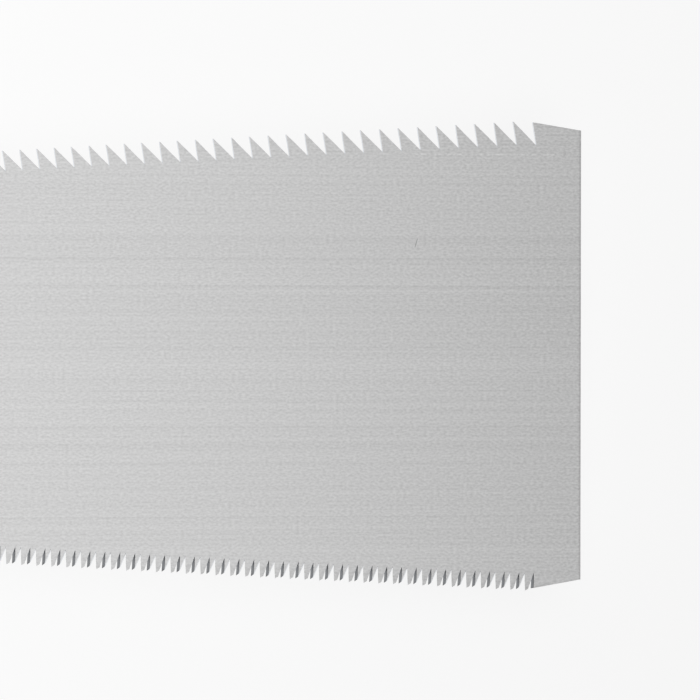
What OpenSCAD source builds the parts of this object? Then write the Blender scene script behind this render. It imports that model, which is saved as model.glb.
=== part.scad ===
// Double-edged pull saw (ryoba) with a replaceable blade and a rattan-wrapped handle.
// The saw lies on its side: +X runs from the butt to the toe, +Y to the rip teeth,
// +Z out of the blade's face. The origin is at the bottom centre of the whole saw.
// Every piece is drawn in the saw's own axes, where x = 0 is the mouth of the blade
// holder and z = 0 is the middle of the blade's thickness, and is then set down.

/* [Blade] */
// Thickness of the blade's steel
blade_t = 0.55; // [0.5:0.05:0.65]
// Half the blade's width over the tooth tips next to the toe
blade_half_w = 49.675; // [46:0.025:52]
// Length of the plain toe beyond the last teeth
toe_plain = 11.18; // [9:0.01:15]
// How far the rip side of the plain toe draws in
toe_draw = 1.8; // [1:0.05:4]
// How far the crosscut side of the plain toe draws in
toe_draw_cross = 2.3; // [1:0.05:4]
// How far the toe's end leans back at the crosscut corner
toe_slant = 0.17; // [0:0.01:1]
// Distance from the holder's mouth to the blade's heel
heel_gap = 25.7; // [24:0.01:32]

/* [Rip teeth] */
// Number of rip teeth
rip_count = 64; // [58:1:66]
// Pitch of the rip teeth at the toe
rip_pitch_toe = 4.5; // [4.2:0.01:4.6]
// Pitch of the rip teeth at the heel
rip_pitch_heel = 3.01; // [2.7:0.01:3.2]
// Tooth depth as a share of the pitch
rip_depth_share = 1.13; // [0.9:0.01:1.2]
// Lean of the tooth front towards the handle, in degrees
rip_lean = 9.5; // [4:0.1:12]
// Taper of the rip edge, in degrees
rip_taper = 3.3; // [2.5:0.05:3.5]

/* [Crosscut teeth] */
// Number of crosscut teeth
cross_count = 142; // [130:1:144]
// Pitch of the crosscut teeth
cross_pitch = 1.69; // [1.6:0.01:1.75]
// Depth of the crosscut teeth
cross_depth = 3.8; // [3.4:0.1:4.2]
// Lean of the tooth front towards the handle, in degrees
cross_lean = 0; // [0:0.5:5]
// Length along the edge of the bevel that tops each tooth
cross_top_l = 0.25; // [0.15:0.01:0.4]
// Height of the bevel that tops each tooth
cross_top_h = 0.15; // [0.1:0.01:0.3]
// Taper of the crosscut edge at the toe, in degrees
cross_taper = 2.8; // [2.5:0.05:3]
// Radius of the crosscut edge's slight crown
cross_crown_r = 17000; // [15000:500:30000]

/* [Tang and blade holder] */
// Half the width of the blade's tang
tang_half_w = 10.5; // [9.5:0.1:10.5]
// Length of the tang inside the holder
tang_l = 38; // [36:0.5:38]
// Thickness of each cheek of the holder
cheek_t = 1.5; // [1.2:0.1:1.6]
// Half the width of the holder round the tang
holder_half_w = 15; // [14.8:0.1:15.4]
// Half the width of the holder's neck at the ferrule
neck_half_w = 10; // [9:0.1:10]
// Length of the holder in front of the ferrule
holder_l = 50; // [50:1:54]
// Length of the holder's tail inside the handle
tail_l = 70; // [62:1:76]
// Half the width of the tail
tail_half_w = 8; // [7:0.1:8]
// Gap between the blade and each cheek
slide_gap = 0.05; // [0.04:0.01:0.08]

/* [Lock screw] */
// Radius of the lock screw's thread
screw_r = 2.45; // [2.4:0.01:2.46]
// Distance of the lock screw behind the mouth
screw_x = 18; // [16:0.5:19]
// Radius of the screw's head
head_r = 5.5; // [5:0.1:5.8]
// Height of the screw's head
head_h = 2.8; // [2.4:0.1:3]
// Radius of the washer
washer_r = 6.2; // [6:0.1:6.5]
// Thickness of the washer
washer_t = 0.8; // [0.6:0.1:1]
// Width of the nut across its flats
nut_af = 8; // [8:0.5:9]
// Height of the nut
nut_h = 3.6; // [3:0.1:4]

/* [Handle] */
// Length of the wooden core behind the ferrule's front wall
core_l = 280; // [276:0.5:290]
// Thickness of the rattan winding
wrap_t = 1.5; // [1.2:0.1:1.7]
// Length of the ferrule
ferrule_l = 22; // [18:0.5:24]
// Thickness of the ferrule's wall
ferrule_t = 0.8; // [0.6:0.1:1]
// Length of the butt cap
cap_l = 23; // [22:0.5:26]
// Radius of the hanging hole
hang_r = 3; // [2.5:0.1:3.5]

/* [Hidden] */
$fn = 64;

eps = 0.01;
// Places along the saw, behind the mouth
ferrule_x = -holder_l - 1;
ferrule_wall = 1.2;
core_x = ferrule_x - ferrule_wall;
wrap_x = ferrule_x - ferrule_l;
tenon_l = 10.5;
core_end_x = core_x - core_l;
cap_x = core_end_x + tenon_l;
butt_x = cap_x - cap_l;
tail_x = -holder_l - tail_l;
heel_x = heel_gap;

// Gap all round the lock screw where it passes through the blade and the cheeks
free_gap = 0.35;

// Half the thickness of the spacer and of the whole holder
spacer_half_t = blade_t / 2 + slide_gap;
holder_half_t = spacer_half_t + cheek_t;

// The handle's core is an oval: [share of its length, half width, half thickness]
core_shape = [
    [0.00, 14.7, 11.2], [0.04, 14.7, 11.2], [0.09, 14.3, 10.9], [0.18, 13.6, 10.5],
    [0.30, 13.2, 10.3], [0.45, 13.4, 10.5], [0.60, 13.9, 10.9], [0.75, 14.7, 11.4],
    [0.88, 15.4, 11.9], [1.00, 15.7, 12.1]
];
grip_l = core_x - cap_x;
around = 48;
base_z = 13.9;

// Height of the butt cap's flat lands round the hanging hole
land_half_t = 11;
hang_x = butt_x + 7.5;

// Setting the saw down: its length is centred and its lowest point touches z = 0
module set_down() {
    translate([-(blade_reach + butt_x) / 2, 0, base_z]) children();
}

// ---- Outlines -------------------------------------------------------------------

// Points of an arc about [cx, cy] from angle a0 to a1
function arc(cx, cy, r, a0, a1, n = 8) =
    [for (i = [0:n]) [cx + r * cos(a0 + (a1 - a0) * i / n), cy + r * sin(a0 + (a1 - a0) * i / n)]];

// The same outline on the other side of the X axis, in reverse order
function mirrored(points) =
    [for (i = [len(points) - 1:-1:0]) [points[i].x, -points[i].y]];

// Rip tooth k is this far behind the toe corner, where k = 0 is the tooth nearest the toe
rip_growth = (rip_pitch_heel - rip_pitch_toe) / (rip_count - 1);
function rip_pitch(k) = rip_pitch_toe + rip_growth * k;
function rip_back(k) = (k + 1) * rip_pitch_toe + rip_growth * k * (k + 1) / 2;
function rip_edge(d) = blade_half_w - (d - rip_pitch_toe) * tan(rip_taper);
function cross_edge(d) =
    blade_half_w - (d - cross_pitch) * tan(cross_taper) - pow(d - cross_pitch, 2) / (2 * cross_crown_r);

toothed_l = max(rip_back(rip_count - 1), cross_count * cross_pitch) + 0.3;
corner_x = heel_x + toothed_l;
blade_reach = corner_x + toe_plain;

// Each rip tooth adds its tip and the gullet in front of it, towards the handle
function rip_points() = [
    for (k = [0:rip_count - 1], i = [0:1])
    let (
        d = rip_back(k),
        depth = rip_depth_share * rip_pitch(k)
    )
    i == 0
        ? [corner_x - d, rip_edge(d)]
        : [corner_x - d + depth * tan(rip_lean), rip_edge(d) - depth]
];

// Each crosscut tooth adds its gullet, its tip and the end of its top bevel
function cross_points() = [
    for (k = [cross_count - 1:-1:0], i = [0:2])
    let (
        d = (k + 1) * cross_pitch,
        y = cross_edge(d)
    )
    i == 0 ? [corner_x - d + cross_depth * tan(cross_lean), -(y - cross_depth)]
    : i == 1 ? [corner_x - d, -y]
    : [corner_x - d + cross_top_l, -(y - cross_top_h)]
];

// The concave shoulder from the tang to the heel
shoulder_r = 16;
heel_half_w = min(
    rip_edge(toothed_l) - rip_depth_share * rip_pitch_heel,
    cross_edge(toothed_l) - cross_depth
);
function shoulder() = concat(
    [[-tang_l + 2, tang_half_w]],
    arc(heel_x - 20.7, tang_half_w + shoulder_r, shoulder_r, -90, -25, 12),
    [[heel_x - 1.5, heel_half_w - 3], [heel_x - 0.3, heel_half_w]]
);

// How far the two toe corners stand inside the tooth lines
rip_corner_draw = 0.1;
cross_corner_draw = 0.52;
function blade_outline() = concat(
    [[-tang_l, tang_half_w - 2]],
    shoulder(),
    [for (p = [len(rip_points()) - 1:-1:0]) rip_points()[p]],
    [
        [corner_x + rip_depth_share * rip_pitch_toe * tan(rip_lean),
            blade_half_w - rip_depth_share * rip_pitch_toe],
        [corner_x, blade_half_w - rip_corner_draw],
        [blade_reach, blade_half_w - toe_draw],
        [blade_reach - toe_slant, -(blade_half_w - toe_draw_cross)],
        [corner_x, -(blade_half_w - cross_corner_draw)],
        [corner_x + cross_depth * tan(cross_lean), -(blade_half_w - cross_depth)]
    ],
    [for (p = [len(cross_points()) - 1:-1:0]) cross_points()[p]],
    mirrored(shoulder()),
    [[-tang_l, -(tang_half_w - 2)]]
);

// The holder's cheeks and spacer share this outline
neck_x = -holder_l - 6;
bend_a = 55;
bend_r = (holder_half_w - neck_half_w) / (2 * (1 - cos(bend_a)));
bend_x = -holder_l + 4;
function holder_half_outline() = concat(
    [[tail_x, tail_half_w - 3], [tail_x + 4, tail_half_w], [neck_x - 3, tail_half_w]],
    [[neck_x, neck_half_w]],
    arc(bend_x, neck_half_w + bend_r, bend_r, -90, bend_a - 90, 6),
    arc(bend_x + 2 * bend_r * sin(bend_a), holder_half_w - bend_r, bend_r, bend_a + 90, 90, 6),
    arc(-3, holder_half_w - 3, 3, 90, 0, 6)
);
function holder_outline() = concat(holder_half_outline(), mirrored(holder_half_outline()));

// ---- Shared shapes --------------------------------------------------------------

// A solid whose closed rings of points all have the same number of points
module loft(rings) {
    n = len(rings[0]);
    last = len(rings) - 1;
    polyhedron(
        points = [for (ring = rings) each ring],
        faces = concat(
            [[for (i = [n - 1:-1:0]) i]],
            [
                for (s = [0:last - 1], i = [0:n - 1])
                let (j = (i + 1) % n)
                [s * n + i, s * n + j, (s + 1) * n + j, (s + 1) * n + i]
            ],
            [[for (i = [0:n - 1]) last * n + i]]
        ),
        convexity = 4
    );
}

// A ring-shaped solid: the rings run along the outside and back along the inside
module loop_loft(rings) {
    n = len(rings[0]);
    m = len(rings);
    polyhedron(
        points = [for (ring = rings) each ring],
        faces = [
            for (s = [0:m - 1], i = [0:n - 1])
            let (t = (s + 1) % m, j = (i + 1) % n)
            [s * n + i, s * n + j, t * n + j, t * n + i]
        ],
        convexity = 4
    );
}

// An oval ring across the saw at x
function oval(x, half_w, half_t) =
    [for (i = [0:around - 1]) [x, half_w * cos(i * 360 / around), half_t * sin(i * 360 / around)]];

function core_ring_x(share) = core_x - share * grip_l;
function core_at(share, grow = 0) =
    let (
        i = max([for (k = [0:len(core_shape) - 2]) core_shape[k][0] <= share ? k : 0]),
        a = core_shape[i],
        b = core_shape[i + 1],
        f = (share - a[0]) / (b[0] - a[0])
    )
    [a[1] + f * (b[1] - a[1]) + grow, a[2] + f * (b[2] - a[2]) + grow];
function grip_oval(share, grow = 0) =
    oval(core_ring_x(share), core_at(share, grow)[0], core_at(share, grow)[1]);
function share_of(x) = (core_x - x) / grip_l;

wrap_share = share_of(wrap_x);
wrap_shares = concat([wrap_share], [for (c = core_shape) if (c[0] > wrap_share) c[0]]);

// Half width and half thickness of the tenon that the butt cap fits over
tenon = [11, 8];
cap_end = core_at(1, wrap_t);

module core() {
    loft(concat([for (c = core_shape) grip_oval(c[0])]));
    loft([oval(cap_x + eps, tenon[0], tenon[1]), oval(core_end_x, tenon[0], tenon[1])]);
}

// A row of round solids along Z, each from z0 to z1
module posts(places, r, z0, z1) {
    for (p = places)
        translate([p.x, p.y, z0]) cylinder(r = r, h = z1 - z0);
}

rivet_r = 1.2;
rivet_head_r = 1.9;
rivet_head_h = 0.6;
rivet_y = (tang_half_w + holder_half_w) / 2 + 0.05;
rivet_places = [[-7, rivet_y], [-7, -rivet_y], [-31, rivet_y], [-31, -rivet_y], [-44, 0]];

pin_r = 1.5;
pin_places = [[wrap_x - 12, 0], [wrap_x - 36, 0]];
function pin_half(x) = core_at(share_of(x))[1] - 0.3;

// ---- Pieces ---------------------------------------------------------------------

module blade() {
    slot_r = screw_r + free_gap;
    color([0.75, 0.75, 0.76])
    difference() {
        translate([0, 0, -blade_t / 2]) linear_extrude(blade_t) polygon(blade_outline());
        translate([-screw_x, 0, -1]) cylinder(r = slot_r, h = 2);
        translate([-tang_l - 1, -slot_r, -1]) cube([tang_l - screw_x + 1, 2 * slot_r, 2]);
    }
}

// One cheek plate, drilled for the rivets, the pins and the screw, from z0 upwards
module cheek_plate(z0) {
    difference() {
        translate([0, 0, z0]) linear_extrude(cheek_t) polygon(holder_outline());
        posts(rivet_places, rivet_r, z0 - 1, z0 + cheek_t + 1);
        posts(pin_places, pin_r, z0 - 1, z0 + cheek_t + 1);
        posts([[-screw_x, 0]], screw_r + free_gap, z0 - 1, z0 + cheek_t + 1);
    }
}

module screw_side_cheek() {
    color([0.7, 0.7, 0.72]) cheek_plate(spacer_half_t);
}

module nut_side_cheek() {
    color([0.7, 0.7, 0.72]) cheek_plate(-holder_half_t);
}

// Plate of the blade's thickness between the cheeks, open where the tang slides in
module tang_spacer() {
    pocket_half_w = tang_half_w + 0.1;
    color([0.6, 0.6, 0.62])
    difference() {
        translate([0, 0, -spacer_half_t]) linear_extrude(2 * spacer_half_t)
            polygon(holder_outline());
        translate([-tang_l - 0.2, -pocket_half_w, -1]) cube([tang_l + 2, 2 * pocket_half_w, 2]);
        posts(rivet_places, rivet_r, -1, 1);
        posts(pin_places, pin_r, -1, 1);
    }
}

module holder_rivets() {
    color([0.65, 0.65, 0.67])
    for (p = rivet_places) translate([p.x, p.y, 0]) {
        translate([0, 0, -holder_half_t]) cylinder(r = rivet_r, h = 2 * holder_half_t);
        for (side = [0, 1]) mirror([0, 0, side]) translate([0, 0, holder_half_t])
            rotate_extrude() polygon(concat([[0, 0]],
                [for (a = [0:15:90]) [rivet_head_r * cos(a), rivet_head_h * sin(a)]]));
    }
}

screw_tip_z = -holder_half_t - nut_h - 0.6;

module lock_screw() {
    head_z = holder_half_t + washer_t;
    recess_w = 1.1;
    recess_l = 5.6;
    color([0.75, 0.75, 0.77])
    difference() {
        union() {
            translate([-screw_x, 0, head_z]) rotate_extrude() polygon([
                [0, 0], [head_r, 0], [head_r, head_h * 0.45], [head_r - 0.5, head_h * 0.75],
                [head_r - 1.4, head_h * 0.95], [head_r - 2.4, head_h], [0, head_h]
            ]);
            translate([-screw_x, 0, screw_tip_z]) cylinder(r = screw_r, h = head_z - screw_tip_z);
        }
        for (turn = [0, 90])
            translate([-screw_x, 0, head_z + head_h]) rotate([0, 0, turn + 25])
                cube([recess_l, recess_w, 3.6], center = true);
    }
}

module lock_washer() {
    color([0.55, 0.55, 0.58])
    difference() {
        translate([-screw_x, 0, holder_half_t]) cylinder(r = washer_r, h = washer_t);
        translate([-screw_x, 0, holder_half_t - 1]) cylinder(r = screw_r + 0.08, h = washer_t + 2);
    }
}

module lock_nut() {
    color([0.6, 0.6, 0.62])
    difference() {
        translate([-screw_x, 0, -holder_half_t - nut_h])
            cylinder(r = nut_af / sqrt(3), h = nut_h, $fn = 6);
        translate([-screw_x, 0, -holder_half_t - nut_h - 1])
            cylinder(r = screw_r + 0.05, h = nut_h + 2);
    }
}

// Drawn steel cup over the front of the core, slotted for the holder
module ferrule() {
    half_w = core_at(0)[0] + ferrule_t;
    half_t = core_at(0)[1] + ferrule_t;
    end_half = core_at(wrap_share);
    color([0.2, 0.2, 0.21])
    difference() {
        loft([
            oval(ferrule_x, half_w - 1, half_t - 1),
            oval(ferrule_x - 0.4, half_w - 0.3, half_t - 0.3),
            oval(ferrule_x - ferrule_wall, half_w, half_t),
            oval(core_ring_x(core_shape[1][0]), half_w, half_t),
            oval(wrap_x, end_half[0] + ferrule_t, end_half[1] + ferrule_t)
        ]);
        loft([
            grip_oval(0),
            grip_oval(core_shape[1][0]),
            grip_oval(wrap_share),
            oval(wrap_x - 1, end_half[0], end_half[1])
        ]);
        translate([core_x - 1, -neck_half_w, -holder_half_t])
            cube([ferrule_wall + 3, 2 * neck_half_w, 2 * holder_half_t]);
        for (side = [-1, 1])
            translate([ferrule_nail_x, 0, 0]) rotate([-90 * side, 0, 0])
                cylinder(r = nail_r, h = half_w + 1);
    }
}

nail_r = 0.8;
nail_head_r = 1.5;
ferrule_nail_x = ferrule_x - 14;
nail_l = 6;

// Small round-headed nails that hold the ferrule to the core, one on each narrow side
module ferrule_nails() {
    surface_y = core_at(share_of(ferrule_nail_x))[0] + ferrule_t;
    color([0.3, 0.3, 0.31])
    for (side = [-1, 1])
        translate([ferrule_nail_x, 0, 0]) rotate([-90 * side, 0, 0]) {
            translate([0, 0, surface_y - nail_l]) cylinder(r = nail_r, h = nail_l);
            translate([0, 0, surface_y]) cylinder(r1 = nail_head_r, r2 = nail_head_r - 0.5, h = 0.5);
        }
}

// The core is two halves glued round the holder's tail; side is 1 for the upper half
module core_half(side) {
    color([0.82, 0.68, 0.48])
    difference() {
        intersection() {
            core();
            translate([core_end_x - 1, -30, side > 0 ? 0 : -30])
                cube([core_l + 2, 60, 30]);
        }
        translate([tail_x - 0.3, -tail_half_w - 0.1, -holder_half_t])
            cube([core_x - tail_x + 1, 2 * tail_half_w + 0.2, 2 * holder_half_t]);
        translate([neck_x - 3.3, -neck_half_w - 0.1, -holder_half_t])
            cube([core_x - neck_x + 4.3, 2 * neck_half_w + 0.2, 2 * holder_half_t]);
        for (p = pin_places) posts([p], pin_r, -pin_half(p.x), pin_half(p.x));
        posts([[cap_pin_x, 0]], cap_pin_r, -30, 30);
        for (s = [-1, 1])
            translate([ferrule_nail_x, 0, 0]) rotate([-90 * s, 0, 0])
                cylinder(r = nail_r, h = 30);
    }
}

module core_upper_half() core_half(1);
module core_lower_half() core_half(-1);

module tail_pins() {
    color([0.6, 0.6, 0.62])
    for (p = pin_places) posts([p], pin_r, -pin_half(p.x), pin_half(p.x));
}

// The envelope of the rattan strip that winds closely round the core
module rattan_wrap() {
    color([0.85, 0.68, 0.42])
    difference() {
        loop_loft(concat(
            [for (s = wrap_shares) grip_oval(s, wrap_t)],
            [for (i = [len(wrap_shares) - 1:-1:0]) grip_oval(wrap_shares[i])]
        ));
        for (x = tack_places) posts([[x, 0]], tack_r, 0, 30);
    }
}

tack_r = 0.7;
tack_head_r = 1.6;
tack_places = [wrap_x - 3.2, cap_x + 3.2];

// Brass tacks that hold the two ends of the rattan strip down on the upper side
module wrap_tacks() {
    color([0.8, 0.65, 0.3])
    for (x = tack_places) {
        top_z = core_at(share_of(x), wrap_t)[1] + 0.05;
        translate([x, 0, top_z - wrap_t]) cylinder(r = tack_r, h = wrap_t);
        translate([x, 0, top_z]) cylinder(r1 = tack_head_r, r2 = tack_head_r - 0.6, h = 0.5);
    }
}

// Moulded cap over the core's tenon, with flat lands round a hanging hole
module butt_cap() {
    color([0.12, 0.12, 0.13])
    difference() {
        loft([
            oval(cap_x, cap_end[0], cap_end[1]),
            oval(cap_x - 3, cap_end[0] + 0.3, cap_end[1] + 0.3),
            oval(cap_x - cap_l * 0.55, cap_end[0], cap_end[1]),
            oval(butt_x + 5, cap_end[0] - 1.4, cap_end[1] - 0.9),
            oval(butt_x + 2, cap_end[0] - 3.2, cap_end[1] - 2.3),
            oval(butt_x + 0.6, cap_end[0] - 5.4, cap_end[1] - 4),
            oval(butt_x, cap_end[0] - 7.5, cap_end[1] - 5.6)
        ]);
        loft([oval(cap_x + 1, tenon[0], tenon[1]), oval(core_end_x, tenon[0], tenon[1])]);
        posts([[hang_x, 0]], hang_r, -30, 30);
        posts([[hang_x, 0]], hang_r + 2, land_half_t, 30);
        posts([[hang_x, 0]], hang_r + 2, -30, -land_half_t);
        posts([[cap_pin_x, 0]], cap_pin_r, -30, 30);
    }
}

cap_pin_r = 1.2;
cap_pin_x = cap_x - 6;

// Cross pin that holds the butt cap on the tenon
module cap_pin() {
    half = cap_end[1];
    color([0.7, 0.7, 0.72]) posts([[cap_pin_x, 0]], cap_pin_r, -half, half);
}

set_down() blade();
set_down() screw_side_cheek();
set_down() nut_side_cheek();
set_down() tang_spacer();
set_down() holder_rivets();
set_down() lock_screw();
set_down() lock_washer();
set_down() lock_nut();
set_down() ferrule();
set_down() ferrule_nails();
set_down() core_upper_half();
set_down() core_lower_half();
set_down() tail_pins();
set_down() rattan_wrap();
set_down() wrap_tacks();
set_down() butt_cap();
set_down() cap_pin();
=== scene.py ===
import math

import bmesh
import bpy
from mathutils import Matrix, Vector


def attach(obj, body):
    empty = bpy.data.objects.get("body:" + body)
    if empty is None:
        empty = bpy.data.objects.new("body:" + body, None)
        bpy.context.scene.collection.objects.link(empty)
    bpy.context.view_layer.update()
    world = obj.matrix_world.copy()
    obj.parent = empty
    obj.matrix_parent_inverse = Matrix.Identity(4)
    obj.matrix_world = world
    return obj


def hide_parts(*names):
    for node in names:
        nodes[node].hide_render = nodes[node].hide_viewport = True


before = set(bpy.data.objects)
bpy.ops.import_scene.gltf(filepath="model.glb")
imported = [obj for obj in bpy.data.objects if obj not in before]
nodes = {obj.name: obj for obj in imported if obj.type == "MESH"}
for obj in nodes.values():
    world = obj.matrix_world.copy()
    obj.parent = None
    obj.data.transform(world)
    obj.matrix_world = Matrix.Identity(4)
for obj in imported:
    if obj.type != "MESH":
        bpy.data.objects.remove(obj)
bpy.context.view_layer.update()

MM = 0.001
BASE_Z = 13.9                       # height of the blade's mid-plane over the floor, mm
MOUTH_X = 33.6                      # the holder's mouth in the row frame, mm


def at(x, y, z):
    """A point given in the saw's own millimetres, in the row frame's metres."""
    return Vector(((x + MOUTH_X) * MM, y * MM, (z + BASE_Z) * MM))


# ---- Camera ---------------------------------------------------------------------

TILT = math.radians(23)             # the saw is seen from a little towards its handle
AIM = Vector((0.25782, 0.00131, (BASE_Z + 0.25) * MM))
DISTANCE = 3.27
cam_data = bpy.data.cameras.new("camera")
cam_data.sensor_width = 36
cam_data.lens = 797.5
cam_data.clip_start = 0.1
cam_data.clip_end = 200
cam = bpy.data.objects.new("camera", cam_data)
back = Vector((-math.sin(TILT), 0, math.cos(TILT)))
right = Vector((math.cos(TILT), 0, math.sin(TILT)))
cam.matrix_world = Matrix((
    (right.x, 0, back.x, 0), (right.y, 1, back.y, 0), (right.z, 0, back.z, 0), (0, 0, 0, 1)
))
cam.location = AIM + back * DISTANCE
bpy.context.collection.objects.link(cam)
bpy.context.scene.camera = cam
bpy.context.scene.view_settings.view_transform = "Standard"


# ---- Mesh helpers ---------------------------------------------------------------

def new_piece(name, mesh, body, slot, material, *replaced, smooth=None, largest=1e6):
    """Links a piece; faces up to largest mm2 are smoothed where they meet at less than smooth."""
    obj = bpy.data.objects.new(name, mesh)
    bpy.context.collection.objects.link(obj)
    mesh.materials.append(material)
    if smooth is not None:
        mesh.shade_smooth()
        mesh.set_sharp_from_angle(angle=math.radians(smooth))
        for p in mesh.polygons:
            p.use_smooth = p.area < largest * MM * MM
    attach(obj, body)
    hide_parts(*replaced)
    return obj


def mesh_of(bm):
    bmesh.ops.recalc_face_normals(bm, faces=bm.faces)
    mesh = bpy.data.meshes.new("part")
    bm.to_mesh(mesh)
    bm.free()
    return mesh


def prism(bm, outline, z0, z1, shear=0.0):
    """A closed prism of an outline in the saw's millimetres; shear moves x with z."""
    rings = [[bm.verts.new(at(x + shear * z, y, z)) for x, y in outline] for z in (z0, z1)]
    skin(bm, rings)


def skin(bm, rings, closed=False):
    """Joins rings of equal length, and caps the two ends unless the rings close on themselves."""
    n = max(len(r) for r in rings)
    pairs = list(zip(rings, rings[1:] + rings[:1] if closed else rings[1:]))
    for a, b in pairs:
        for i in range(n):
            j = (i + 1) % n
            quad = dict.fromkeys((a[i % len(a)], a[j % len(a)], b[j % len(b)], b[i % len(b)]))
            bm.faces.new(list(quad))
    if not closed:
        for ring in (rings[0], rings[-1]):
            if len(ring) > 2:
                bm.faces.new(ring)


def lathe(bm, profile, place, axis=(0, 0, 1), n=48, closed=False, radius=None):
    """Revolves (radius, height) points; radius(r, h, angle) may vary the radius."""
    axis = Vector(axis)
    side = Vector((1, 0, 0))
    other = axis.cross(side)
    base = Vector(place)
    rings = []
    for r, h in profile:
        if r == 0:
            rings.append([bm.verts.new(at(*(base + axis * h)))])
            continue
        ring = []
        for i in range(n):
            a = 2 * math.pi * i / n
            rr = radius(r, h, a) if radius else r
            ring.append(bm.verts.new(at(*(
                base + axis * h + side * rr * math.cos(a) + other * rr * math.sin(a)
            ))))
        rings.append(ring)
    skin(bm, rings, closed)


def arc(cx, cy, r, a0, a1, n=12):
    turn = [math.radians(a0 + (a1 - a0) * i / n) for i in range(n + 1)]
    return [(cx + r * math.cos(a), cy + r * math.sin(a)) for a in turn]


def dome(r, base, rise, step=15):
    """The (radius, height) points of a shallow dome, short of its crown."""
    turn = [math.radians(a) for a in range(0, 90, step)]
    return [(r * math.cos(a), base + rise * math.sin(a)) for a in turn]


def oval_loft(bm, rings):
    """A closed skin through ovals given as (x, half width, half thickness)."""
    turn = [2 * math.pi * i / 96 for i in range(96)]
    skin(bm, [
        [bm.verts.new(at(x, half_w * math.cos(a), half_t * math.sin(a))) for a in turn]
        for x, half_w, half_t in rings
    ])


def worked(mesh, cutters, bevel=0.0, angle=30):
    """The mesh less each cutter mesh, with its sharp edges then eased by a bevel."""
    obj = bpy.data.objects.new("work", mesh)
    bpy.context.collection.objects.link(obj)
    tools = []
    for cutter in cutters:
        tool = bpy.data.objects.new("tool", cutter)
        bpy.context.collection.objects.link(tool)
        m = obj.modifiers.new("cut", "BOOLEAN")
        m.operation = "DIFFERENCE"
        m.solver = "EXACT"
        m.object = tool
        tools.append(tool)
    if bevel:
        m = obj.modifiers.new("ease", "BEVEL")
        m.width = bevel * MM
        m.segments = 2
        m.limit_method = "ANGLE"
        m.angle_limit = math.radians(angle)
    dg = bpy.context.evaluated_depsgraph_get()
    out = bpy.data.meshes.new_from_object(obj.evaluated_get(dg))
    for o in tools + [obj]:
        data = o.data
        bpy.data.objects.remove(o)
        bpy.data.meshes.remove(data)
    return out


# ---- Node helpers ---------------------------------------------------------------

def material(name, metallic=0.0, roughness=0.5, **sockets):
    m = bpy.data.materials.new(name)
    m.use_nodes = True
    bsdf = m.node_tree.nodes["Principled BSDF"]
    bsdf.inputs["Metallic"].default_value = metallic
    bsdf.inputs["Roughness"].default_value = roughness
    for key, value in sockets.items():
        bsdf.inputs[key.replace("_", " ")].default_value = value
    return m, m.node_tree, bsdf


def placed(tree, scale=(1, 1, 1), loc=(0, 0, 0), rot=(0, 0, 0)):
    tc = tree.nodes.new("ShaderNodeTexCoord")
    mp = tree.nodes.new("ShaderNodeMapping")
    mp.inputs["Scale"].default_value = scale
    mp.inputs["Location"].default_value = loc
    mp.inputs["Rotation"].default_value = rot
    tree.links.new(tc.outputs["Object"], mp.inputs["Vector"])
    return mp.outputs["Vector"]


def noise(tree, vector, detail=2.0, rough=0.5):
    n = tree.nodes.new("ShaderNodeTexNoise")
    n.inputs["Scale"].default_value = 1.0
    n.inputs["Detail"].default_value = detail
    n.inputs["Roughness"].default_value = rough
    tree.links.new(vector, n.inputs["Vector"])
    return n.outputs["Fac"]


def ramp(tree, fac, *stops):
    r = tree.nodes.new("ShaderNodeValToRGB")
    el = r.color_ramp.elements
    while len(el) < len(stops):
        el.new(0.5)
    for e, (pos, col) in zip(el, stops):
        e.position = pos
        e.color = (*col, 1) if isinstance(col, tuple) else (col, col, col, 1)
    tree.links.new(fac, r.inputs["Fac"])
    return r.outputs["Color"]


def mapped(tree, fac, a, b, c, d):
    m = tree.nodes.new("ShaderNodeMapRange")
    for key, value in zip(("From Min", "From Max", "To Min", "To Max"), (a, b, c, d)):
        m.inputs[key].default_value = value
    tree.links.new(fac, m.inputs["Value"])
    return m.outputs["Result"]


def calc(tree, op, a, b=None):
    m = tree.nodes.new("ShaderNodeMath")
    m.operation = op
    for i, v in enumerate((a, b)):
        if isinstance(v, (int, float)):
            m.inputs[i].default_value = v
        elif v is not None:
            tree.links.new(v, m.inputs[i])
    return m.outputs[0]


def blended(tree, a, b, share):
    """a and b added in the proportion share : 1 - share."""
    part_a = calc(tree, "MULTIPLY", a, share)
    part_b = calc(tree, "MULTIPLY", b, 1 - share)
    return calc(tree, "ADD", part_a, part_b)


def tinted(tree, color, fac, darkest):
    """color multiplied by darkest..1 as fac goes from 0 to 1."""
    m = tree.nodes.new("ShaderNodeMix")
    m.data_type = "RGBA"
    m.blend_type = "MULTIPLY"
    m.inputs[0].default_value = 1.0
    tree.links.new(color, m.inputs[6])
    tree.links.new(ramp(tree, fac, (0.0, darkest), (1.0, 1.0)), m.inputs[7])
    return m.outputs[2]


def bump(tree, bsdf, height, strength, distance):
    b = tree.nodes.new("ShaderNodeBump")
    b.inputs["Strength"].default_value = strength
    b.inputs["Distance"].default_value = distance
    tree.links.new(height, b.inputs["Height"])
    tree.links.new(b.outputs["Normal"], bsdf.inputs["Normal"])


def line_mask(tree, x, y, turn, half_l, half_w):
    """1 on a straight mark centred at x, y in metres and 0 elsewhere."""
    sep = tree.nodes.new("ShaderNodeSeparateXYZ")
    c, s = math.cos(turn), math.sin(turn)
    shift = (-(c * x + s * y), -(-s * x + c * y), 0)
    tree.links.new(placed(tree, loc=shift, rot=(0, 0, -turn)), sep.inputs[0])
    along = calc(tree, "LESS_THAN", calc(tree, "ABSOLUTE", sep.outputs["X"]), half_l)
    across = calc(tree, "LESS_THAN", calc(tree, "ABSOLUTE", sep.outputs["Y"]), half_w)
    return calc(tree, "MULTIPLY", along, across)


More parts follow.
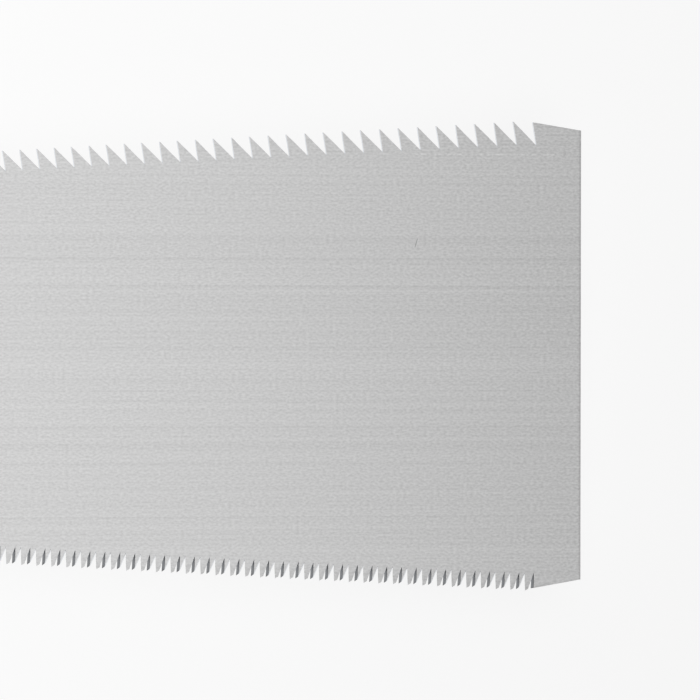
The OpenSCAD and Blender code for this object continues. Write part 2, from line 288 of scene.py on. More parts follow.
def marked(tree, color, mark, tone):
    """color multiplied by tone where mark is 1."""
    return tinted(tree, color, calc(tree, "SUBTRACT", 1.0, mark), tone)


# ---- Materials ------------------------------------------------------------------

# Long marks of the rolls and the grinding belt: place across the blade, half width, tone
MARK_MIDDLE = 0.2                   # they reach as far to each side of this x, in metres
ROLL_MARKS = (
    (24.5, 0.12, 0.965), (20.5, 0.28, 0.935), (14.8, 0.14, 0.955), (11.2, 0.12, 0.965),
    (1.3, 0.12, 0.965), (-7.3, 0.15, 0.95), (-14.9, 0.2, 0.95), (-33.8, 0.14, 0.96),
)


def blade_steel():
    m, tree, bsdf = material("blade_steel", metallic=1.0, roughness=0.34)
    grain = noise(tree, placed(tree, (1300, 2400, 2400)), 1, 0.5)
    lines = noise(tree, placed(tree, (2.5, 1500, 60)), 2, 0.6)
    broad = noise(tree, placed(tree, (3, 90, 20)), 1, 0.5)
    mixed = blended(tree, grain, blended(tree, lines, broad, 0.9), 0.7)
    color = ramp(tree, mixed, (0.32, 0.528), (0.68, 0.707))
    streak = noise(tree, placed(tree, (2, 950, 50), loc=(3, 7, 0)), 0, 0.5)
    color = tinted(tree, color, mapped(tree, streak, 0.22, 0.31, 0.0, 1.0), 0.97)
    for y, half_w, darkest in ROLL_MARKS:
        roll = line_mask(tree, MARK_MIDDLE, y * MM, 0, MARK_MIDDLE, half_w * MM)
        color = marked(tree, color, roll, darkest)
    scratch = line_mask(tree, 0.273, 0.0239, math.radians(72), 0.0010, 0.00008)
    color = marked(tree, color, scratch, 0.5)
    pit = line_mask(tree, 0.3073, 0.0428, math.radians(40), 0.00035, 0.0002)
    color = marked(tree, color, pit, 0.8)
    rub = line_mask(tree, 0.289, 0.0427, 0, 0.017, 0.00012)
    broken = calc(tree, "MULTIPLY", rub, mapped(tree, grain, 0.4, 0.6, 0, 1))
    color = marked(tree, color, broken, 1.09)
    tree.links.new(color, bsdf.inputs["Base Color"])
    tree.links.new(mapped(tree, mixed, 0.35, 0.65, 0.31, 0.37), bsdf.inputs["Roughness"])
    bump(tree, bsdf, mixed, 0.07, 0.00004)
    return m


def plain_steel(name, tone, rough, grain_size, streaky=1.0):
    """Worked steel: fine grain of grain_size mm, with slow stains in tone and gloss."""
    m, tree, bsdf = material(name, metallic=1.0, roughness=rough)
    f = 1000 / grain_size
    grain = noise(tree, placed(tree, (f / streaky, f, f)), 2, 0.6)
    stain = noise(tree, placed(tree, (110, 110, 110)), 3, 0.6)
    mixed = blended(tree, grain, stain, 0.5)
    stained = tuple(0.84 * c for c in tone)
    gloss = mapped(tree, stain, 0.3, 0.7, rough - 0.06, rough + 0.08)
    tree.links.new(ramp(tree, mixed, (0.3, stained), (0.7, tone)), bsdf.inputs["Base Color"])
    tree.links.new(gloss, bsdf.inputs["Roughness"])
    bump(tree, bsdf, grain, 0.15, 0.00005)
    return m


def enamel(name, tone, rough, grain_size, depth):
    """A black finish with a skin of grain_size mm, lighter where dust clings."""
    m, tree, bsdf = material(name, roughness=rough, Specular_IOR_Level=0.5)
    f = 1000 / grain_size
    skin_noise = noise(tree, placed(tree, (f, f, f)), 2, 0.5)
    dust = noise(tree, placed(tree, (160, 160, 160)), 3, 0.6)
    dusty = tuple(1.7 * c for c in tone)
    gloss = mapped(tree, dust, 0.3, 0.7, rough - 0.05, rough + 0.1)
    tree.links.new(ramp(tree, dust, (0.35, tone), (0.75, dusty)), bsdf.inputs["Base Color"])
    tree.links.new(gloss, bsdf.inputs["Roughness"])
    bump(tree, bsdf, skin_noise, 0.3, depth)
    return m


def wood():
    m, tree, bsdf = material("core_wood", roughness=0.6)
    rings = noise(tree, placed(tree, (9, 260, 260)), 3, 0.6)
    pores = noise(tree, placed(tree, (120, 3600, 3600)), 2, 0.6)
    color = ramp(tree, rings, (0.3, (0.36, 0.21, 0.10)), (0.7, (0.56, 0.37, 0.20)))
    color = tinted(tree, color, mapped(tree, pores, 0.3, 0.6, 0, 1), 0.75)
    tree.links.new(color, bsdf.inputs["Base Color"])
    bump(tree, bsdf, pores, 0.3, 0.0001)
    return m


def rattan():
    m, tree, bsdf = material(
        "rattan", roughness=0.42, Coat_Weight=0.35, Coat_Roughness=0.22, Specular_IOR_Level=0.45
    )
    fibre = noise(tree, placed(tree, (5200, 110, 110)), 2, 0.6)
    strip = noise(tree, placed(tree, (330, 22, 22)), 1, 0.5)
    flecks = noise(tree, placed(tree, (2600, 420, 420)), 1, 0.5)
    patches = noise(tree, placed(tree, (90, 60, 60)), 2, 0.6)
    mixed = blended(tree, fibre, strip, 0.42)
    color = ramp(
        tree, mixed,
        (0.33, (0.47, 0.30, 0.125)), (0.48, (0.68, 0.48, 0.24)), (0.68, (0.82, 0.64, 0.38)),
    )
    color = tinted(tree, color, mapped(tree, flecks, 0.22, 0.34, 0, 1), 0.62)
    color = tinted(tree, color, mapped(tree, patches, 0.25, 0.45, 0, 1), 0.86)
    tree.links.new(color, bsdf.inputs["Base Color"])
    tree.links.new(mapped(tree, mixed, 0.3, 0.7, 0.5, 0.34), bsdf.inputs["Roughness"])
    bump(tree, bsdf, fibre, 0.35, 0.00012)
    return m


steel = blade_steel()
ground_steel = plain_steel("ground_steel", (0.86, 0.88, 0.91), 0.17, 0.1)
# The next dark steel is painted shade: a darker copy of the ground tooth steel for the crosscut
# facets that face left.
shaded_facet_steel = plain_steel("shaded_facet_steel", (0.35, 0.354, 0.36), 0.32, 0.1)
holder_steel = plain_steel("holder_steel", (0.63, 0.63, 0.62), 0.3, 0.16, 3)
rivet_steel = plain_steel("rivet_steel", (0.58, 0.58, 0.57), 0.34, 0.12)
screw_steel = plain_steel("screw_steel", (0.70, 0.69, 0.66), 0.22, 0.1)
washer_steel = plain_steel("washer_steel", (0.55, 0.55, 0.55), 0.3, 0.12)
brass = plain_steel("tack_brass", (0.80, 0.58, 0.26), 0.28, 0.12)
black_enamel = enamel("ferrule_enamel", (0.013, 0.013, 0.014), 0.26, 0.5, 0.00002)
black_plastic = enamel("cap_plastic", (0.018, 0.018, 0.019), 0.42, 0.16, 0.00003)
core_wood = wood()
cane = rattan()


# ---- Blade ----------------------------------------------------------------------

T = 0.55                            # the sheet's thickness
HALF_W = 49.675                     # from the middle line to the tooth tips at the toe
HEEL_X = 25.7                       # the heel's distance from the holder's mouth
TANG_X, TANG_W, FORK_W = -38, 10.5, 2.8
RIP_N, RIP_TOE, RIP_HEEL, RIP_DEPTH = 64, 4.5, 3.01, 1.13
RIP_LEAN, RIP_TAPER = math.tan(math.radians(9.5)), math.tan(math.radians(3.3))
RIP_GROW = (RIP_HEEL - RIP_TOE) / (RIP_N - 1)
CROSS_N, CROSS_P, CROSS_D = 142, 1.69, 3.8
CROSS_TAPER, CROWN_R = math.tan(math.radians(2.8)), 17000.0
CORNER_X = HEEL_X + RIP_N * (RIP_TOE + RIP_HEEL) / 2 + 0.3
REACH = CORNER_X + 11.18
RIP_CORNER, TOE_TOP = (CORNER_X - 0.01, HALF_W - 0.1), (REACH, HALF_W - 1.8)
CROSS_CORNER, TOE_BOTTOM = (CORNER_X, -(HALF_W - 0.52)), (REACH - 0.17, -(HALF_W - 2.3))
BEVEL = 0.8                         # how far a crosscut gullet slants for the thickness
TIP_W, TIP_SLOPE = 0.3, 0.5         # a crosscut top bevel's length along the edge and slope
TIP_DROP = (0.45, 0.23)             # how far its middle lies inside the edge, for each hand
SET_RIP, SET_CROSS = 0.14, 0.2      # how far a tip is bent aside
BENT_RIP_TOE, BENT_RIP_HEEL, BENT_CROSS = 2.2, 1.5, 1.75    # height of the bent part
FLAT_NORMAL = 0.93                  # above this normal.z a face belongs to the sheet's faces


def rip_pitch(k):
    return RIP_TOE + RIP_GROW * k


def rip_back(k):
    return (k + 1) * RIP_TOE + RIP_GROW * k * (k + 1) / 2


def rip_edge(d):
    return HALF_W - (d - RIP_TOE) * RIP_TAPER


def cross_edge(d):
    return HALF_W - (d - CROSS_P) * CROSS_TAPER - (d - CROSS_P) ** 2 / (2 * CROWN_R)


def blade_sheet():
    """The blade before its teeth are cut."""
    last = rip_back(RIP_N - 1)
    depth = RIP_DEPTH * rip_pitch(RIP_N - 1)
    cross_last = CROSS_N * CROSS_P
    heel_w = min(rip_edge(last) - depth, cross_edge(cross_last) - CROSS_D)
    shoulder = [(TANG_X + 2, TANG_W)] + arc(HEEL_X - 20.7, 26.5, 16, -90, -25, 24)
    shoulder += [(HEEL_X - 1.5, heel_w - 3), (HEEL_X - 0.3, heel_w)]
    slot = [(TANG_X, -FORK_W)] + arc(-18, 0, FORK_W, -90, 90, 24) + [(TANG_X, FORK_W)]
    top = [
        (CORNER_X - last + depth * RIP_LEAN, rip_edge(last) - depth),
        (CORNER_X - last, rip_edge(last)),
        (CORNER_X - RIP_TOE, rip_edge(RIP_TOE)),
        RIP_CORNER, TOE_TOP,
    ]
    bottom = [TOE_BOTTOM, CROSS_CORNER]
    for i in range(13):
        d = CROSS_P + (CROSS_N - 1) * CROSS_P * i / 12
        bottom.append((CORNER_X - d, -cross_edge(d)))
    bottom.append((CORNER_X - cross_last, -(cross_edge(cross_last) - CROSS_D)))
    under = [(x, -y) for x, y in reversed(shoulder)]
    end = TANG_W - 2
    outline = [(TANG_X, end)] + shoulder + top + bottom + under + [(TANG_X, -end)] + slot
    bm = bmesh.new()
    prism(bm, outline, -T / 2, T / 2)
    return mesh_of(bm)


def ease_toe(bm):
    """Slopes the plain toe's edges down a little on both faces."""
    width, drop = 0.45, 0.018
    near, reach = 0.08 * MM, 0.4 * MM   # an outline vertex is this near to the line and its ends
    for p, q in ((RIP_CORNER, TOE_TOP), (TOE_TOP, TOE_BOTTOM), (TOE_BOTTOM, CROSS_CORNER)):
        p, q = at(*p, 0), at(*q, 0)
        along = (q - p).normalized()
        inward = Vector((along.y, -along.x, 0))
        geom = bm.verts[:] + bm.edges[:] + bm.faces[:]
        bmesh.ops.bisect_plane(
            bm, geom=geom, dist=1e-8, plane_co=p + inward * width * MM, plane_no=inward
        )
        for v in bm.verts:
            if v.tag:
                continue
            rel = v.co - p
            inside = -reach < rel.dot(along) < (q - p).length + reach
            if inside and abs(rel.dot(inward)) < near and abs(rel.z) > 0.9 * T / 2 * MM:
                v.co.z -= math.copysign(drop * MM, rel.z)
                v.tag = True


def rip_cutters():
    bm = bmesh.new()
    for k in range(-1, RIP_N - 1):
        d = rip_back(k) if k >= 0 else 0.0
        depth = RIP_DEPTH * rip_pitch(max(k, 0))
        edge = rip_edge(max(d, RIP_TOE))
        x, nd = CORNER_X - d, rip_back(k + 1)
        tip, tip_y = CORNER_X - nd + 0.04, rip_edge(nd)
        prism(bm, [
            (x + depth * RIP_LEAN, edge - depth), (x, edge), (x, edge + 1.5),
            (tip, tip_y + 1.5), (tip, tip_y),
        ], -1, 1)
    return mesh_of(bm)


def cross_cutters(parity):
    """Gullets of one hand. Each slants through the sheet, so it bevels the teeth beside it."""
    bm = bmesh.new()
    for k in range(-1 + (1 - parity), CROSS_N - 1, 2):
        d = (k + 1) * CROSS_P
        x, edge = CORNER_X - d, cross_edge(max(d, CROSS_P))
        tip, tip_y = x - CROSS_P, cross_edge(d + CROSS_P) - TIP_DROP[parity]
        prism(bm, [
            (x, -(edge - CROSS_D)), (x, -(edge + 1.5)),
            (tip - 1.5, -(tip_y + 1.5 * TIP_SLOPE)), (tip + TIP_W, -(tip_y - TIP_W * TIP_SLOPE)),
        ], -0.7, 0.7, shear=BEVEL if parity else -BEVEL)
    return mesh_of(bm)


def set_teeth(bm, a, b, outward_y, height, spread, sign_of):
    """Bends each tooth past the line from a to b, alternately up and down."""
    a, b = at(*a, 0), at(*b, 0)
    along = (b - a).normalized()
    normal = Vector((-along.y, along.x, 0))
    if normal.y * outward_y < 0:
        normal.negate()
    geom = bm.verts[:] + bm.edges[:] + bm.faces[:]
    bmesh.ops.bisect_plane(bm, geom=geom, dist=1e-8, plane_co=a, plane_no=normal)
    beyond = {v for v in bm.verts if (v.co - a).dot(normal) > 1e-7}
    while beyond:
        stack, island = [beyond.pop()], []
        while stack:
            v = stack.pop()
            island.append(v)
            for e in v.link_edges:
                w = e.other_vert(v)
                if w in beyond:
                    beyond.remove(w)
                    stack.append(w)
        sign = sign_of(sum(v.co.x for v in island) / len(island) / MM - MOUTH_X)
        for v in island:
            v.co.z += sign * spread / height * (v.co - a).dot(normal)


def blade_mesh():
    """The toothed and set blade, with 0 sheet, 1 ground and 2 painted-shade faces (the left-facing
    crosscut facets, given a darker steel as painted shade).
    """
    mesh = worked(blade_sheet(), [rip_cutters(), cross_cutters(0), cross_cutters(1)])
    bm = bmesh.new()
    bm.from_mesh(mesh)
    bpy.data.meshes.remove(mesh)
    bmesh.ops.remove_doubles(bm, verts=bm.verts, dist=1e-7)
    ease_toe(bm)
    backs = [rip_back(k) for k in range(RIP_N)]

    def rip_sign(x):
        d = CORNER_X - x
        k = min(range(RIP_N), key=lambda i: abs(backs[i] - 1.3 - d))
        return 0 if d < 0.2 else (1 if k % 2 else -1)

    def cross_sign(x):
        d = CORNER_X - x
        k = round((d + 0.4) / CROSS_P) - 1
        return 0 if d < -0.5 else (-1 if k % 2 else 1)

    last = backs[-1]
    set_teeth(
        bm, (CORNER_X - RIP_TOE, rip_edge(RIP_TOE) - BENT_RIP_TOE),
        (CORNER_X - last, rip_edge(last) - BENT_RIP_HEEL), 1, BENT_RIP_TOE, SET_RIP, rip_sign,
    )
    last = CROSS_N * CROSS_P
    set_teeth(
        bm, (CORNER_X, BENT_CROSS - cross_edge(CROSS_P)),
        (CORNER_X - last, BENT_CROSS - cross_edge(last)), -1, BENT_CROSS, SET_CROSS, cross_sign,
    )
    bmesh.ops.triangulate(bm, faces=[f for f in bm.faces if len(f.verts) > 4])
    bm.normal_update()
    for f in bm.faces:
        level = abs(f.normal.z)
        # Crosscut facets facing left get the dark steel as painted shade.
        shaded_facet = f.calc_center_median().y < 0 and f.normal.x < -0.3 and level > 0.2
        f.material_index = 0 if level > FLAT_NORMAL else 2 if shaded_facet else 1
    return mesh_of(bm)


blade = new_piece("blade_detail", blade_mesh(), "saw_blade", "blade_steel", steel, "blade")
blade.data.materials.append(ground_steel)
blade.data.materials.append(shaded_facet_steel)


# ---- Blade holder ---------------------------------------------------------------

SPACER_T = T / 2 + 0.05
HOLDER_T = SPACER_T + 1.5
SCREW_X = -18
NECK_W, HOLDER_W, TAIL_W = 10, 15, 8


def holder_outline(inset=0.0):
    bend = math.radians(55)
    r = (HOLDER_W - NECK_W) / (2 * (1 - math.cos(bend)))
    half = [(-120, TAIL_W - 3), (-116, TAIL_W), (-59, TAIL_W), (-56, NECK_W)]
    half += arc(-46, NECK_W + r, r, -90, -35, 14)
    half += arc(-46 + 2 * r * math.sin(bend), HOLDER_W - r, r, 145, 90, 14)
    half += arc(-3, HOLDER_W - 3, 3, 90, 0, 14)
    half = [(x - (inset if x > -3.1 else 0), y - inset) for x, y in half]
    return half + [(x, -y) for x, y in reversed(half)]


def plate(z0, z1, inset=0.0, hole=0.0, pocket=False):
    bm = bmesh.new()
    prism(bm, holder_outline(inset), z0, z1)
    body = mesh_of(bm)
    bm = bmesh.new()
    if hole:
        lathe(bm, [(0, -5), (hole, -5), (hole, 5), (0, 5)], (SCREW_X, 0, 0), n=64)
    if pocket:
        prism(bm, [(-38.2, -10.6), (2, -10.6), (2, 10.6), (-38.2, 10.6)], -1, 1)
    return body, mesh_of(bm)


for name, low, high, node in (
    ("holder_cheek_screw_side", SPACER_T, HOLDER_T, "screw_side_cheek"),
    ("holder_cheek_nut_side", -HOLDER_T, -SPACER_T, "nut_side_cheek"),
):
    body, cut = plate(low, high, hole=2.8)
    new_piece(
        name, worked(body, [cut], bevel=0.22), "handle", "holder_steel", holder_steel, node,
        smooth=35, largest=12,
    )
body, cut = plate(-SPACER_T, SPACER_T, inset=0.06, pocket=True)
new_piece(
    "holder_spacer", worked(body, [cut], bevel=0.05), "handle", "holder_steel", holder_steel,
    "tang_spacer", smooth=35, largest=12,
)

RIVET_Y = (TANG_W + HOLDER_W) / 2 + 0.05
bm = bmesh.new()
for x, y in ((-7, RIVET_Y), (-7, -RIVET_Y), (-31, RIVET_Y), (-31, -RIVET_Y), (-44, 0)):
    upper = [(1.86, 0.0)] + dome(1.9, 0.12, 0.48, 10) + [(0, 0.6)]
    lower = [(r, -(h + 2 * HOLDER_T)) for r, h in reversed(upper)]
    shank = [(1.2, -0.02), (1.2, -2 * HOLDER_T + 0.02)]
    lathe(bm, lower + shank[::-1] + upper, (x, y, HOLDER_T), n=40)
new_piece(
    "rivets", mesh_of(bm), "handle", "rivet_steel", rivet_steel, "holder_rivets", smooth=40
)


# ---- Lock screw, washer and nut -------------------------------------------------

WASHER_R, WASHER_T, SCREW_R = 6.2, 0.8, 2.45
NUT_AF, NUT_H = 8, 3.6
HEAD_Z = HOLDER_T + WASHER_T
TIP_Z = -HOLDER_T - NUT_H - 0.6
THREAD_PITCH = 0.8


def thread(r, h, angle):
    """A triangular thread cut into the shank, run out at both ends."""
    if abs(r - SCREW_R) > 0.001:
        return r
    run = min(1.0, max(0.0, (HEAD_Z - 1.2 - h) / 0.8), max(0.0, (h - TIP_Z) / 0.5))
    phase = (h / THREAD_PITCH - angle / (2 * math.pi)) % 1
    return r - 0.36 * abs(2 * phase - 1) * run


bm = bmesh.new()
steps = int((HEAD_Z - TIP_Z - 0.3) / 0.1)
shank = [(SCREW_R, TIP_Z + 0.3 + 0.1 * i) for i in range(steps + 1)] + [(SCREW_R, HEAD_Z)]
crown = [(5.35, 0.0), (5.5, 0.15), (5.5, 1.15)]
crown += [(5.5 - 2.6 * math.sin(a) ** 2 * 0.5 - 1.3 * (1 - math.cos(a)), 1.15 + 1.6 * math.sin(a))
          for a in (math.radians(9 * i) for i in range(1, 11))]
crown = [(r, HEAD_Z + h) for r, h in crown] + [(0, HEAD_Z + 2.8)]
lathe(bm, [(0, TIP_Z), (1.9, TIP_Z)] + shank + crown, (SCREW_X, 0, 0), n=72, radius=thread)
screw = mesh_of(bm)
recess = []
for turn in (25, 115):
    bm = bmesh.new()
    c, s = math.cos(math.radians(turn)), math.sin(math.radians(turn))
    rings = []
    for z, half_l, half_w in ((HEAD_Z + 1.0, 1.9, 0.4), (HEAD_Z + 3.2, 3.0, 0.62)):
        corners = ((-half_l, -half_w), (half_l, -half_w), (half_l, half_w), (-half_l, half_w))
        rings.append([
            bm.verts.new(at(SCREW_X + c * u - s * v, s * u + c * v, z)) for u, v in corners
        ])
    skin(bm, rings)
    recess.append(mesh_of(bm))
new_piece(
    "lock_screw_detail", worked(screw, recess), "screw", "screw_steel", screw_steel,
    "lock_screw", smooth=32,
)

bm = bmesh.new()
top = WASHER_T - 0.02                # clear of the screw's head
ring = [(SCREW_R + 0.1, 0.1), (SCREW_R + 0.2, 0.0), (WASHER_R - 0.2, 0.0), (WASHER_R - 0.06, 0.06),
        (WASHER_R, 0.2), (WASHER_R, top - 0.2), (WASHER_R - 0.06, top - 0.06),
        (WASHER_R - 0.2, top), (SCREW_R + 0.2, top), (SCREW_R + 0.1, top - 0.1)]
lathe(bm, ring, (SCREW_X, 0, HOLDER_T), n=72, closed=True)
new_piece(
    "washer_detail", mesh_of(bm), "washer", "washer_steel", washer_steel, "lock_washer", smooth=40
)


def hexagon(r, h, angle):
    """The hexagon's radius, limited by the cones that chamfer its corners."""
    if r < NUT_AF / 2:
        return r
    near = (angle + math.pi / 6) % (math.pi / 3) - math.pi / 6
    flat = NUT_AF / 2 / math.cos(math.pi / 6 - abs(near))
    cone = 3.85 + min(h, NUT_H - h) / math.tan(math.radians(30))
    return min(flat, cone)


bm = bmesh.new()
chamfer = [0.0, 0.08, 0.16, 0.25, 0.34, 0.45]
ring = [(4.2, h) for h in chamfer + [NUT_H - h for h in reversed(chamfer)]]
ring += [(2.95, NUT_H), (SCREW_R + 0.05, NUT_H - 0.4), (SCREW_R + 0.05, 0.4), (2.95, 0.0)]
lathe(bm, ring, (SCREW_X, 0, -HOLDER_T - NUT_H), n=96, closed=True, radius=hexagon)
new_piece(
    "lock_nut_detail", mesh_of(bm), "handle", "screw_steel", screw_steel, "lock_nut", smooth=28
)


# ---- Handle ---------------------------------------------------------------------

CORE_X, CAP_X, BUTT_X, FERRULE_X, WRAP_X = -52.2, -321.7, -344.7, -51, -73
FERRULE_T = 0.8
CORE_SHAPE = (
    (0.00, 14.7, 11.2), (0.04, 14.7, 11.2), (0.09, 14.3, 10.9), (0.18, 13.6, 10.5),
    (0.30, 13.2, 10.3), (0.45, 13.4, 10.5), (0.60, 13.9, 10.9), (0.75, 14.7, 11.4),
    (0.88, 15.4, 11.9), (1.00, 15.7, 12.1),
)                                   # share of the grip's length, half width, half thickness


def core_at(x, grow=0.0):
    """Half width and half thickness of the core at x."""
    share = min(max((CORE_X - x) / (CORE_X - CAP_X), 0.0), 1.0)
    for a, b in zip(CORE_SHAPE, CORE_SHAPE[1:]):
        if share <= b[0]:
            break
    f = (share - a[0]) / (b[0] - a[0])
    return a[1] + f * (b[1] - a[1]) + grow, a[2] + f * (b[2] - a[2]) + grow


for node in ("core_upper_half", "core_lower_half"):
    nodes[node].data.materials.clear()
    nodes[node].data.materials.append(core_wood)
nodes["tail_pins"].data.materials.clear()
nodes["tail_pins"].data.materials.append(rivet_steel)

# The drawn ferrule: a rounded front wall, a crimped bead and a turned-in rear lip
bm = bmesh.new()
w, t = core_at(CORE_X, FERRULE_T)
rings = [(FERRULE_X - (1 - math.cos(a)), w - 1 + math.sin(a), t - 1 + math.sin(a))
         for a in (math.radians(12.86 * i) for i in range(8))]
bead = (
    (-66.6, 0), (-67.0, 0.08), (-67.4, 0.24), (-67.9, 0.3), (-68.4, 0.24), (-68.8, 0.08), (-69.2, 0),
)
lip = ((-72.4, 0), (-72.75, 0.08), (-72.95, 0.25), (-73.0, 0.45))
for x, sink in ((-53.5, 0),) + bead + lip:
    w, t = core_at(x, FERRULE_T - sink)
    rings.append((x, w, t))
oval_loft(bm, rings)
body = mesh_of(bm)
bm = bmesh.new()
oval_loft(bm, [(x, *core_at(x)) for x in (CORE_X, -62.98, -73.0)] + [(-74.0, *core_at(-73.0))])
bore = mesh_of(bm)
bm = bmesh.new()
prism(bm, [(-54, -NECK_W), (-50, -NECK_W), (-50, NECK_W), (-54, NECK_W)], -HOLDER_T, HOLDER_T)
new_piece(
    "ferrule_detail", worked(body, [bore, mesh_of(bm)]), "handle", "ferrule_enamel", black_enamel,
    "ferrule", smooth=35,
)

bm = bmesh.new()
NAIL_X = FERRULE_X - 14
surface = core_at(NAIL_X)[0] + FERRULE_T
for side in (1, -1):
    lathe(
        bm, [(0, surface - 6), (0.5, surface - 5), (0.8, surface - 4), (0.8, surface)]
        + [(r, surface + h) for r, h in dome(1.5, 0.08, 0.42)] + [(0, surface + 0.5)],
        (NAIL_X, 0, 0), axis=(0, side, 0), n=36,
    )
new_piece(
    "ferrule_nail_heads", mesh_of(bm), "handle", "rivet_steel", rivet_steel, "ferrule_nails",
    smooth=40,
)


def winding():
    """One cane strip wound closely from the ferrule to the butt cap."""
    pitch, strip_w, n = 4.45, 4.33, 72
    front, rear = WRAP_X - 0.05, CAP_X + 0.05
    across = (-1, -0.93, -0.78, -0.5, -0.18, 0.18, 0.5, 0.78, 0.93, 1)
    rise = (0.55, 0.92, 1.2, 1.38, 1.46, 1.46, 1.38, 1.2, 0.92, 0.55)
    least = 0.35
    first = -(strip_w / 2 - least) / pitch
    last = (front - rear) / pitch + (strip_w / 2 - least) / pitch
    steps = int((last - first) * n)
    bm = bmesh.new()
    rings = []
    for i in range(steps + 1):
        turn = first + (last - first) * i / steps
        angle = 2 * math.pi * turn
        x = front - pitch * turn
        wander = 0.05 * math.sin(2.3 * angle / 7 + 1) + 0.04 * math.sin(angle * 0.61)
        swell = 0.97 + 0.03 * math.sin(angle * 0.173 + 2) * math.sin(angle * 0.37)
        high = min(x + strip_w / 2 + wander, front)
        low = max(x - strip_w / 2 + wander, rear)
        ring = []
        section = [(u, h * swell) for u, h in zip(across, rise)] + [(1, 0.03), (-1, 0.03)]
        for u, h in section:
            px = (low + high) / 2 + u * (high - low) / 2
            w, t = core_at(px, h)
            ring.append(bm.verts.new(at(px, w * math.cos(angle), t * math.sin(angle))))
        rings.append(ring)
    skin(bm, rings)
    return mesh_of(bm)


new_piece("rattan_winding", winding(), "handle", "rattan", cane, "rattan_wrap", smooth=50)

bm = bmesh.new()
for x in (WRAP_X - 3.2, CAP_X + 3.2):
    top = core_at(x, 1.5)[1] + 0.05
    lathe(
        bm, [(0, -1.5), (0.7, -1.5), (0.7, 0.0)] + dome(1.6, 0.06, 0.44) + [(0, 0.5)],
        (x, 0, top), n=36,
    )
new_piece("wrap_tack_heads", mesh_of(bm), "handle", "tack_brass", brass, "wrap_tacks", smooth=40)


def smooth_rings(rings, per=6):
    """The rings joined by a smooth curve through them."""
    out = []
    for i in range(len(rings) - 1):
        p = [rings[max(min(j, len(rings) - 1), 0)] for j in (i - 1, i, i + 1, i + 2)]
        for s in range(per):
            u = s / per
            point = []
            for a, b, c, d in zip(*p):
                point.append(0.5 * (
                    2 * b + (c - a) * u + (2 * a - 5 * b + 4 * c - d) * u * u
                    + (3 * b - a - 3 * c + d) * u ** 3
                ))
            out.append(tuple(point))
    return out + [rings[-1]]


HANG_X = BUTT_X + 7.5
PIN_X = CAP_X - 6
cap_w, cap_t = core_at(CAP_X, 1.5)
rings = smooth_rings([
    (CAP_X, cap_w, cap_t), (CAP_X - 3, cap_w + 0.25, cap_t + 0.25),
    (CAP_X - 12.65, cap_w, cap_t), (BUTT_X + 5, cap_w - 1.4, cap_t - 0.9),
    (BUTT_X + 2, cap_w - 3.2, cap_t - 2.3), (BUTT_X + 0.6, cap_w - 5.4, cap_t - 4),
    (BUTT_X, cap_w - 7.5, cap_t - 5.6),
])
bm = bmesh.new()
oval_loft(bm, [(max(x, BUTT_X), w, min(t, cap_t + 0.3)) for x, w, t in rings])
body = mesh_of(bm)
bm = bmesh.new()
oval_loft(bm, [(CAP_X + 1, 11, 8), (CAP_X - 10.5, 11, 8)])
pocket = mesh_of(bm)
bm = bmesh.new()
stepped = [(0, -20), (5, -20), (5, -11), (3, -11), (3, 11), (5, 11), (5, 20), (0, 20)]
lathe(bm, stepped, (HANG_X, 0, 0), n=64)
holes = mesh_of(bm)
bm = bmesh.new()
lathe(bm, [(0, -20), (1.2, -20), (1.2, 20), (0, 20)], (PIN_X, 0, 0), n=40)
new_piece(
    "butt_cap_detail", worked(body, [pocket, holes, mesh_of(bm)], bevel=0.2, angle=40),
    "handle", "cap_plastic", black_plastic, "butt_cap", smooth=38,
)
bm = bmesh.new()
pin_end = [(1.2, 13.2), (1.0, 13.45), (0.6, 13.57), (0, 13.6)]
lathe(bm, [(r, -h) for r, h in reversed(pin_end)] + pin_end, (PIN_X, 0, 0), n=40)
new_piece("cap_cross_pin", mesh_of(bm), "handle", "rivet_steel", rivet_steel, "cap_pin", smooth=40)


# ---- Stage ----------------------------------------------------------------------

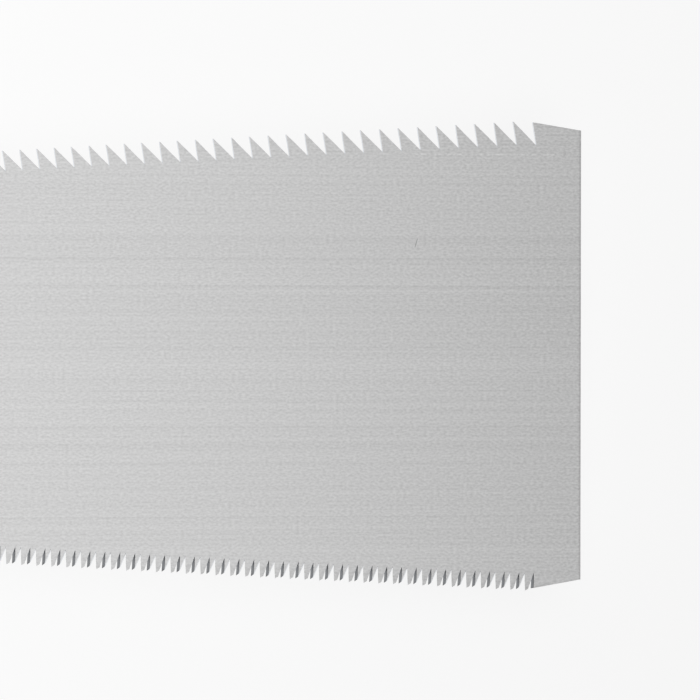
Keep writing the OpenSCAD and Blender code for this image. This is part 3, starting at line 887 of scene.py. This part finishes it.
world = bpy.data.worlds.new("studio")
bpy.context.scene.world = world
world.use_nodes = True
wt = world.node_tree
tc = wt.nodes.new("ShaderNodeTexCoord")
sep = wt.nodes.new("ShaderNodeSeparateXYZ")
wt.links.new(tc.outputs["Generated"], sep.inputs[0])
sky = ramp(
    wt, sep.outputs["Z"],
    (0.0, 0.9), (0.04, 0.9), (0.1, 0.02), (0.64, 0.02), (0.86, 0.47), (1.0, 0.52),
)
sides = mapped(wt, calc(wt, "ABSOLUTE", sep.outputs["Y"]), 0.3, 0.8, 0.0, 0.5)
ends = mapped(wt, calc(wt, "ABSOLUTE", sep.outputs["X"]), 0.55, 0.95, 0.0, 0.28)
walls = calc(wt, "MAXIMUM", sides, ends)
wt.links.new(calc(wt, "MAXIMUM", sky, walls), wt.nodes["Background"].inputs["Color"])
wt.nodes["Background"].inputs["Strength"].default_value = 1.0

FLOOR = 60                          # half its side, in metres
corners = [(-FLOOR, -FLOOR, 0), (FLOOR, -FLOOR, 0), (FLOOR, FLOOR, 0), (-FLOOR, FLOOR, 0)]
floor_mesh = bpy.data.meshes.new("floor")
floor_mesh.from_pydata(corners, [], [(0, 1, 2, 3)])
floor = bpy.data.objects.new("floor", floor_mesh)
bpy.context.collection.objects.link(floor)
# The floor glows as painted light: its emission washes out the shadows under the saw and fades from
# 0.853 to 0.778 along a slanted line.
fm, ftree, fb = material("floor", roughness=0.9, Specular_IOR_Level=0.0)
fb.inputs["Base Color"].default_value = (0.2, 0.2, 0.2, 1)
fb.inputs["Emission Color"].default_value = (1, 1, 1, 1)
sepf = ftree.nodes.new("ShaderNodeSeparateXYZ")
ftree.links.new(placed(ftree, rot=(0, 0, 0.38)), sepf.inputs[0])
painted_glow = mapped(ftree, sepf.outputs["X"], 0.1, 0.4, 0.853, 0.778)
ftree.links.new(painted_glow, fb.inputs["Emission Strength"])
floor_mesh.materials.append(fm)

SOFTBOX_X, SOFTBOX_Z, SOFTBOX_SIZE, RADIANCE = 0.2, 0.85, (0.9, 1.4), 0.8
light = bpy.data.lights.new("softbox", "AREA")
light.shape = "RECTANGLE"
light.size, light.size_y = SOFTBOX_SIZE
light.energy = RADIANCE * math.pi * SOFTBOX_SIZE[0] * SOFTBOX_SIZE[1]
softbox = bpy.data.objects.new("softbox", light)
softbox.location = (SOFTBOX_X, 0, SOFTBOX_Z)
softbox.rotation_mode = "QUATERNION"
softbox.rotation_quaternion = Vector((0, 0, -1)).to_track_quat("-Z", "Y")
softbox.visible_camera = False
bpy.context.collection.objects.link(softbox)
